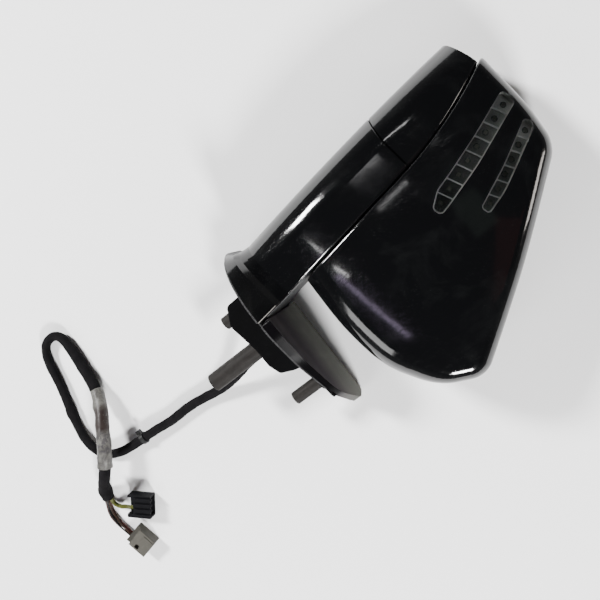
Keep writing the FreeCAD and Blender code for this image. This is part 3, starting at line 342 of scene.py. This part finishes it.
def cloth_tape(name):
    """Woven harness tape: crossed threads with rubbed, dusty ridges."""
    tree = Tree(name)
    tree.set(Specular_IOR_Level=0.05)
    along = tree.waves(1.0, 0.15, "X", tree.spot((420, 1, 1), "UV"))
    across = tree.waves(1.0, 0.15, "Y", tree.spot((1, 24, 1), "UV"))
    weave = tree.math("MAXIMUM", along, across)
    cloud = tree.noise(120, 6, 0.65, 0.4)
    base = tree.mottle(cloud, 0.34, 0.72, (0.0018, 0.0018, 0.0022), (0.0075, 0.0068, 0.0075))
    ridges = tree.math("MULTIPLY", tree.ramp(weave, (0.6, 0.0), (1.0, 1.0)), 0.35)
    tree.feed("Base Color", tree.blend(ridges, base, (0.014, 0.013, 0.014)))
    tree.roughness(cloud, 0.2, 0.75)
    tree.bump(weave, 0.00015, 0.7)
    tree.bump(tree.noise(260, 4), 0.0003, 0.5)
    return tree.material


def label_paper(name):
    """Creased grey-white film, a brown smudge on its upper half and rubbed streaks below it."""
    tree = Tree(name)
    tree.set(Specular_IOR_Level=0.3)
    cloud = tree.noise(150, 7, 0.7, 0.9)
    base = tree.mottle(cloud, 0.34, 0.60, (0.026, 0.024, 0.023), (0.105, 0.102, 0.092))
    blotch = tree.ramp(tree.noise(330, 4, 0.65, 1.0), (0.26, 0.0), (0.40, 1.0))
    along = tree.axis("X", tree.spot(space="UV"))
    brown = tree.ramp(along, (0.0, 0.0), (0.017, 0.0), (0.021, 0.95), (0.040, 0.95), (0.044, 0.0))
    base = tree.blend(tree.math("MULTIPLY", brown, blotch), base, (0.012, 0.006, 0.005))
    grey = tree.ramp(along, (0.0, 0.0), (0.040, 0.0), (0.044, 0.85), (0.060, 0.85), (0.064, 0.3))
    streak = tree.ramp(tree.noise(210, 4, 0.6, 0.6), (0.46, 0.0), (0.56, 1.0))
    base = tree.blend(tree.math("MULTIPLY", grey, streak), base, (0.030, 0.027, 0.030))
    tree.feed("Base Color", base)
    tree.roughness(cloud, 0.35, 0.3)
    tree.bump(tree.noise(210, 5, 0.6, 0.8), 0.0005, 0.6)
    return tree.material


def wire_skin(name, colour):
    """Soft wire insulation with grimy patches."""
    tree = Tree(name)
    tree.set(Specular_IOR_Level=0.15)
    cloud = tree.noise(140, 5, 0.6)
    dark = tuple(part * 0.55 for part in colour)
    tree.feed("Base Color", tree.mottle(cloud, 0.35, 0.7, dark, colour))
    tree.roughness(cloud, 0.25, 0.22)
    tree.bump(tree.noise(700, 2), 0.00004, 0.5)
    return tree.material


# Plastics and rubbers: colour, roughness, then where they differ from moulded's own
# the grain's scale, the grain's depth, the strength of the handling marks and the shine.
MOULDED = {
    "satin_black": ((0.010, 0.010, 0.0105), 0.36, 1100, 0.00004, 0.12),
    "frame_plastic": ((0.045, 0.045, 0.047), 0.5),
    "drive_plastic": ((0.075, 0.076, 0.080), 0.45),
    "emitter": ((0.11, 0.108, 0.095), 0.4, 800, 0.00003),
    "white_plastic": ((0.70, 0.70, 0.65), 0.38, 800, 0.00003),
    "heater_film": ((0.16, 0.08, 0.035), 0.4, 500, 0.00004),
    "cast_black": ((0.0022, 0.0022, 0.0024), 0.70, 420, 0.00016, 0.05, 0.02),
    "rubber_black": ((0.012, 0.012, 0.012), 0.62, 600, 0.00008, 0.2),
    "tie_plastic": ((0.008, 0.0085, 0.0085), 0.4, 700, 0.00003, 0.1, 0.2),
    "connector_black": ((0.0025, 0.0025, 0.0035), 0.60, 700, 0.00005, 0.08, 0.08),
    "connector_white": ((0.062, 0.059, 0.050), 0.6, 500, 0.00006, 0.3, 0.15),
}
finish = {name: moulded(name, *recipe) for name, recipe in MOULDED.items()}
finish.update({
    "zinc": metal("zinc", (0.60, 0.60, 0.58), 0.34, False),
    "motor_can": metal("motor_can", (0.50, 0.51, 0.52), 0.26),
    "steel": metal("steel", (0.56, 0.56, 0.55), 0.30),
    "gloss_black": gloss_black("gloss_black"),
    "clear_lens": clear_lens("clear_lens"),
    "bright_silver": reflector("bright_silver"),
    "circuit_board": board("circuit_board"),
    "mirror_face": mirror_face("mirror_face"),
    "grained_grey": grained("grained_grey"),
    "foam": foam("foam"),
    "stud_bronze": bush_metal("stud_bronze"),
    "cloth_tape": cloth_tape("cloth_tape"),
    "paper": label_paper("paper"),
    "wire_green": wire_skin("wire_green", (0.085, 0.092, 0.018)),
    "wire_brown": wire_skin("wire_brown", (0.035, 0.018, 0.012)),
})
wire_black = wire_skin("wire_black", (0.008, 0.008, 0.008))
wire_red = wire_skin("wire_red", (0.050, 0.014, 0.012))

for part in frame["record"]["subparts"]:
    shown = nodes[part["node"]]
    if not shown.data.materials:
        shown.data.materials.append(finish[part["material_slot"]])
    for holder in shown.material_slots:
        holder.material = finish[part["material_slot"]]


# ---------------------------------------------------------------- lines and tubes
BENCH_GAP = 0.0001                           # least height of any cord surface over the bench


def route(name, points):
    """The points along a NURBS curve that has a cord's route as its control points."""
    data = bpy.data.curves.new(name, "CURVE")
    data.dimensions = "3D"
    data.resolution_u = 16
    spline = data.splines.new("NURBS")
    spline.points.add(len(points) - 1)
    for target, point in zip(spline.points, points):
        target.co = (*point, 1.0)
    spline.order_u = 3
    spline.use_endpoint_u = True
    curve = bpy.data.objects.new(name, data)
    bpy.context.collection.objects.link(curve)
    mesh = bpy.data.meshes.new_from_object(curve)
    line = [vertex.co.copy() for vertex in mesh.vertices]
    bpy.data.meshes.remove(mesh)
    bpy.data.objects.remove(curve)
    return line


def reach(line):
    """Distance along a line at each of its points."""
    far = [0.0]
    for first, second in zip(line, line[1:]):
        far.append(far[-1] + (second - first).length)
    return far


def resampled(line, step):
    """The same line with its points about one step apart."""
    far = reach(line)
    count = max(2, round(far[-1] / step))
    made = []
    spot = 0
    for index in range(count + 1):
        aim = far[-1] * index / count
        while spot < len(line) - 2 and far[spot + 1] < aim:
            spot += 1
        share = (aim - far[spot]) / max(far[spot + 1] - far[spot], 1e-9)
        made.append(line[spot].lerp(line[spot + 1], min(1.0, share)))
    return made


def near(line, spot):
    """Distance along the line of its point nearest to a spot."""
    gaps = [(point - Vector(spot)).length for point in line]
    return reach(line)[gaps.index(min(gaps))]


def frames(line):
    """A side and an upward direction at each point, carried along without twist."""
    made = []
    side = Vector((0, 0, 1)).cross(line[1] - line[0]).normalized()
    for index in range(len(line)):
        along = (line[min(index + 1, len(line) - 1)] - line[max(index - 1, 0)]).normalized()
        side = (side - along * side.dot(along)).normalized()
        made.append((side, along.cross(side).normalized()))
    return made


def as_piece(mesh, name):
    """Turns a bmesh into an object of that name."""
    data = bpy.data.meshes.new(name)
    mesh.normal_update()
    mesh.to_mesh(data)
    mesh.free()
    piece = bpy.data.objects.new(name, data)
    bpy.context.collection.objects.link(piece)
    return piece


def skin(mesh, rings, far, closed=True, slot=0):
    """Covers rings of vertices with faces. UV is the distance along and the share of a turn."""
    sheet = mesh.loops.layers.uv.verify()
    around = len(rings[0])
    for row, (first, second) in enumerate(zip(rings, rings[1:])):
        for step in range(around):
            ahead = (step + 1) % around
            face = mesh.faces.new((first[step], first[ahead], second[ahead], second[step]))
            face.smooth = True
            face.material_index = slot
            corners = ((row, step), (row, step + 1), (row + 1, step + 1), (row + 1, step))
            for loop, (place, turn) in zip(face.loops, corners):
                loop[sheet].uv = (far[place], turn / around)
    if closed:
        for ring in (rings[0][::-1], rings[-1]):
            mesh.faces.new(ring).material_index = slot


def swept(name, line, radius, around, closed=True):
    """A mesh tube along a line. radius is a function of (distance, angle), in metres."""
    mesh = bmesh.new()
    mesh.loops.layers.uv.new("UVMap")
    far = reach(line)
    rings = []
    for point, (side, up), distance in zip(line, frames(line), far):
        ring = []
        for step in range(around):
            angle = 2 * math.pi * step / around
            way = side * math.cos(angle) + up * math.sin(angle)
            spot = point + way * radius(distance, angle)
            spot.z = max(spot.z, BENCH_GAP)
            ring.append(mesh.verts.new(spot))
        rings.append(ring)
    skin(mesh, rings, far, closed)
    return as_piece(mesh, name)


def between(value, start, end):
    """0 before start, 1 after end, and smooth between them."""
    share = max(0.0, min(1.0, (value - start) / (end - start)))
    return share * share * (3 - 2 * share)


def swell(value, middle, width):
    """1 at the middle, fading to both sides."""
    return math.exp(-(((value - middle) / width) ** 2))


# ---------------------------------------------------------------- harness trunk
LOW = 0.0052                                 # height of the trunk's middle where it lies on the bench
LOOP_TOP = (-0.3056, 0.1452, LOW)
trunk_route = [
    (-0.130, 0.0065, 0.030), (-0.146, 0.0065, 0.030), (-0.162, 0.003, 0.022),
    (-0.180, 0.001, 0.0125), (-0.201, 0.003, 0.006), (-0.227, 0.007, LOW), (-0.254, 0.006, LOW),
    (-0.275, 0.009, 0.0064), (-0.298, 0.010, 0.0064), (-0.318, 0.012, LOW), (-0.334, 0.020, LOW),
    (-0.341, 0.037, LOW), (-0.3385, 0.059, LOW), (-0.332, 0.082, LOW), (-0.325, 0.104, LOW),
    (-0.3215, 0.127, LOW), (-0.3142, 0.1412, LOW), LOOP_TOP, (-0.2973, 0.1435, LOW),
    (-0.2921, 0.1368, LOW), (-0.2924, 0.117, LOW), (-0.2946, 0.094, 0.0055),
    (-0.2954, 0.073, 0.010), (-0.2985, 0.0575, 0.0175), (-0.306, 0.0425, 0.024),
    (-0.316, 0.026, 0.026), (-0.331, 0.0075, 0.026), (-0.344, -0.001, 0.0195),
    (-0.354, -0.0075, 0.0105), (-0.359, -0.016, 0.0068)]
TRUNK_STEP = 0.0011
THIN_RADIUS = 0.0044                         # on the way out from the foot
THICKER_BY = 0.0012                          # after the top of the loop
THICKER_OVER = 0.05
TAPE_WIDTH = 0.0125
TAPE_EDGE = 0.00028
LUMP_SPOT = (-0.3345, 0.0740, LOW)
LUMP_HEIGHT = 0.0010
KNOT_HEIGHT = 0.0013
KNOT_FROM_END = 0.010
SWELL_WIDTH = 0.006

trunk_line = resampled(route("trunk_route", trunk_route), TRUNK_STEP)
trunk_far = reach(trunk_line)
trunk_length = trunk_far[-1]
top_of_loop = near(trunk_line, LOOP_TOP)
lump_middle = near(trunk_line, LUMP_SPOT)


def trunk_radius(distance, angle):
    """Thin on the way out, thicker after the loop, with wound tape and a knot of tape at the end."""
    base = THIN_RADIUS + THICKER_BY * between(distance, top_of_loop, top_of_loop + THICKER_OVER)
    turn = (distance / TAPE_WIDTH + angle / (2 * math.pi)) % 1.0
    wound = TAPE_EDGE * (1 - turn)
    spot = Vector((distance * 85, math.cos(angle) * 0.8, math.sin(angle) * 0.8))
    uneven = 0.00030 * noise.noise(spot) + 0.0004 * noise.noise(spot * 0.35)
    knot = KNOT_HEIGHT * swell(distance, trunk_length - KNOT_FROM_END, SWELL_WIDTH)
    lump = LUMP_HEIGHT * swell(distance, lump_middle, SWELL_WIDTH)
    return base + wound + uneven + knot + lump


trunk = swept("harness_trunk", trunk_line, trunk_radius, 40)
trunk.data.materials.append(finish["cloth_tape"])
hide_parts("harness_cord")
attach(trunk, "foot")

# ---------------------------------------------------------------- branches to the two connectors
black_route = [
    (-0.3565, -0.01758, 0.006765), (-0.35983, -0.02323, 0.00431), (-0.3564, -0.0312, 0.0034),
    (-0.3506, -0.0334, 0.0056), (-0.3457, -0.0367, 0.0073), (-0.3411, -0.0404, 0.0073)]
white_route = [
    (-0.36077, -0.01507, 0.006765), (-0.36386, -0.0203, 0.00448), (-0.3694, -0.031, 0.0031),
    (-0.3692, -0.0416, 0.0031), (-0.3664, -0.0517, 0.0044), (-0.3646, -0.05945, 0.0045)]
BRANCH_STEP = 0.0008
WIRE_RADIUS = 0.00085
WIRE_SIDES = 10
BLACK_OFFSET = 0.0011                        # from the bundle's middle to each wire's
WHITE_OFFSET = 0.0020


def strands(name, line, spread, plan):
    """Loose wires side by side along a line. plan gives each wire's angle, offset and material slot."""
    mesh = bmesh.new()
    mesh.loops.layers.uv.new("UVMap")
    far = reach(line)
    turned = frames(line)
    for number, (angle, offset, slot) in enumerate(plan):
        rings = []
        for point, (side, up), distance in zip(line, turned, far):
            share = distance / far[-1]
            twist = angle + 0.9 * share + 0.5 * noise.noise((distance * 60, number * 3.1, 0))
            away = offset * (1 + spread * math.sin(math.pi * share))
            centre = point + (side * math.cos(twist) + up * math.sin(twist)) * away
            centre.z = max(centre.z, WIRE_RADIUS + BENCH_GAP)
            ring = []
            for step in range(WIRE_SIDES):
                turn = 2 * math.pi * step / WIRE_SIDES
                way = side * math.cos(turn) + up * math.sin(turn)
                ring.append(mesh.verts.new(centre + way * WIRE_RADIUS))
            rings.append(ring)
        skin(mesh, rings, far, slot=slot)
    return as_piece(mesh, name)


black_line = resampled(route("black_route", black_route), BRANCH_STEP)
white_line = resampled(route("white_route", white_route), BRANCH_STEP)
black_wires = strands("wires_to_black", black_line, 0.15, [
    (angle, BLACK_OFFSET, slot) for angle, slot in ((0.6, 0), (2.2, 0), (3.9, 1), (5.3, 0))])
white_wires = strands("wires_to_white", white_line, 0.25, [
    (angle, WHITE_OFFSET, slot)
    for angle, slot in ((0.2, 0), (1.25, 1), (2.3, 2), (3.3, 0), (4.4, 1), (5.4, 2))] + [(0.0, 0.0, 1)])
for piece, node, slot, skins in (
        (black_wires, "branch_wires_black", "wire_green", (finish["wire_green"], wire_black)),
        (white_wires, "branch_wires_white", "wire_brown", (finish["wire_brown"], wire_black, wire_red))):
    for colour in skins:
        piece.data.materials.append(colour)
    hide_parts(node)
    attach(piece, "foot")

# ---------------------------------------------------------------- label: a creased sleeve over the hump
LABEL_FIRST = (-0.2945, 0.0750, 0.0090)
LABEL_LAST = (-0.3290, 0.0100, 0.0260)
LABEL_RADIUS = 0.0064
LABEL_WIDER_BY = 0.0009                      # at its lower end
LABEL_THICK = 0.0002
FLAP_HEIGHT = 0.0020
FLAP_MIDDLE = 0.20                           # share of the label's length
FLAP_WIDTH = 0.07

label_start = near(trunk_line, LABEL_FIRST)
label_end = near(trunk_line, LABEL_LAST)
label_line = [point for point, far in zip(trunk_line, trunk_far) if label_start <= far <= label_end]
label_length = reach(label_line)[-1]


def label_radius(distance, angle):
    """Loose round the trunk, wider towards its lower end, creased, with a lifted corner."""
    share = distance / label_length
    spot = Vector((distance * 130, math.cos(angle) * 1.1, math.sin(angle) * 1.1))
    crease = 0.0006 * noise.noise(spot) + 0.0003 * abs(noise.noise(spot * 2.3))
    flap = FLAP_HEIGHT * swell(share, FLAP_MIDDLE, FLAP_WIDTH) * max(0.0, -math.cos(angle)) ** 3
    return LABEL_RADIUS + LABEL_WIDER_BY * share * share + crease + flap


label = swept("harness_label_sleeve", label_line, label_radius, 56, closed=False)
thick = label.modifiers.new("thickness", "SOLIDIFY")
thick.thickness = LABEL_THICK
thick.offset = -1.0
label.data.materials.append(finish["paper"])
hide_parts("harness_label")
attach(label, "foot")

# ---------------------------------------------------------------- floor, light
FLOOR_HALF_SIDE = 6.0
FLOOR_DROP = 0.0003                          # keeps the floor off the pieces that lie on it
MIDDLE = (0, 0, 0)
WHITE = (1, 1, 1)
# name, place, aim, size, power in watts, colour, roll in degrees. The last six put streaks and
# tints on the lacquer and are too weak to light anything else.
LAMPS = (
    ("left", (-1.7, -0.5, 1.3), MIDDLE, (0.9, 0.9), 20, WHITE, 0),
    ("front", (-0.5, -1.8, 1.4), MIDDLE, (0.40, 0.40), 115, WHITE, 0),
    ("right", (1.6, -0.9, 0.6), MIDDLE, (0.6, 0.4), 10, (1.0, 0.94, 0.88), 0),
    ("back", (-0.7, 1.7, 1.5), MIDDLE, (0.40, 0.40), 135, WHITE, 0),
    ("arm_streak", (0.184, 0.411, 1.228), (0.045, 0.067, 0.087), (0.26, 0.02), 0.10, WHITE, 29),
    ("cover_streak", (0.477, 0.622, 1.076), (0.082, 0.079, 0.081), (0.30, 0.06), 0.6, WHITE, 0),
    ("rim_streak", (-0.397, 0.220, 1.214), (-0.017, 0.019, 0.093), (0.12, 0.012), 0.12, WHITE, 47),
    ("rim_violet", (-0.365, -0.09, 1.21), (-0.014, -0.02, 0.094), (0.64, 0.03), 0.34,
     (0.78, 0.64, 0.92), 0),
    ("red_glow", (0.63, -0.485, 1.19), (0.10, -0.042, 0.087), (0.60, 0.45), 0.12,
     (1.0, 0.22, 0.20), 0),
    ("green_glow", (0.57, -0.01, 1.295), (0.085, -0.010, 0.090), (0.30, 0.20), 0.035,
     (0.70, 0.92, 0.76), 0),
)
SKY_STOPS = ((0.0, 0.28), (0.20, 0.14), (0.50, 0.022), (1.0, 0.004))


def stage_floor():
    mesh = bmesh.new()
    bmesh.ops.create_grid(mesh, x_segments=24, y_segments=24, size=FLOOR_HALF_SIDE)
    floor = as_piece(mesh, "floor")
    floor.location.z = -FLOOR_DROP
    tree = Tree("floor")
    tree.set(Specular_IOR_Level=0.1)
    tree.feed("Base Color", tree.blend(tree.noise(1.5, 2), (0.93, 0.93, 0.93), (0.955, 0.955, 0.955)))
    tree.roughness(tree.noise(3), 0.1, 0.8)
    floor.data.materials.append(tree.material)


def softbox(name, place, aim, size, power, colour, roll):
    """A rectangular lamp that faces its aim, turned by roll about that line."""
    data = bpy.data.lights.new(name, "AREA")
    data.shape = "RECTANGLE"
    data.size, data.size_y = size
    data.energy = power
    data.color = colour
    lamp = bpy.data.objects.new(name, data)
    lamp.location = place
    way = Vector(aim) - Vector(place)
    turn = way.to_track_quat("-Z", "Y") @ Quaternion((0, 0, 1), math.radians(roll))
    lamp.rotation_euler = turn.to_euler()
    bpy.context.collection.objects.link(lamp)


def sky():
    """Grey near the horizon and dark overhead."""
    world = bpy.data.worlds.new("studio")
    bpy.context.scene.world = world
    world.use_nodes = True
    made, links = world.node_tree.nodes, world.node_tree.links
    spot = made.new("ShaderNodeTexCoord")
    parts = made.new("ShaderNodeSeparateXYZ")
    ramp = made.new("ShaderNodeValToRGB")
    set_stops(ramp.color_ramp, [(place, (tone, tone, tone * 0.99)) for place, tone in SKY_STOPS])
    links.new(spot.outputs["Generated"], parts.inputs[0])
    links.new(parts.outputs["Z"], ramp.inputs["Fac"])
    links.new(ramp.outputs["Color"], made["Background"].inputs["Color"])
    made["Background"].inputs["Strength"].default_value = 1.0


stage_floor()
sky()
for lamp in LAMPS:
    softbox(*lamp)
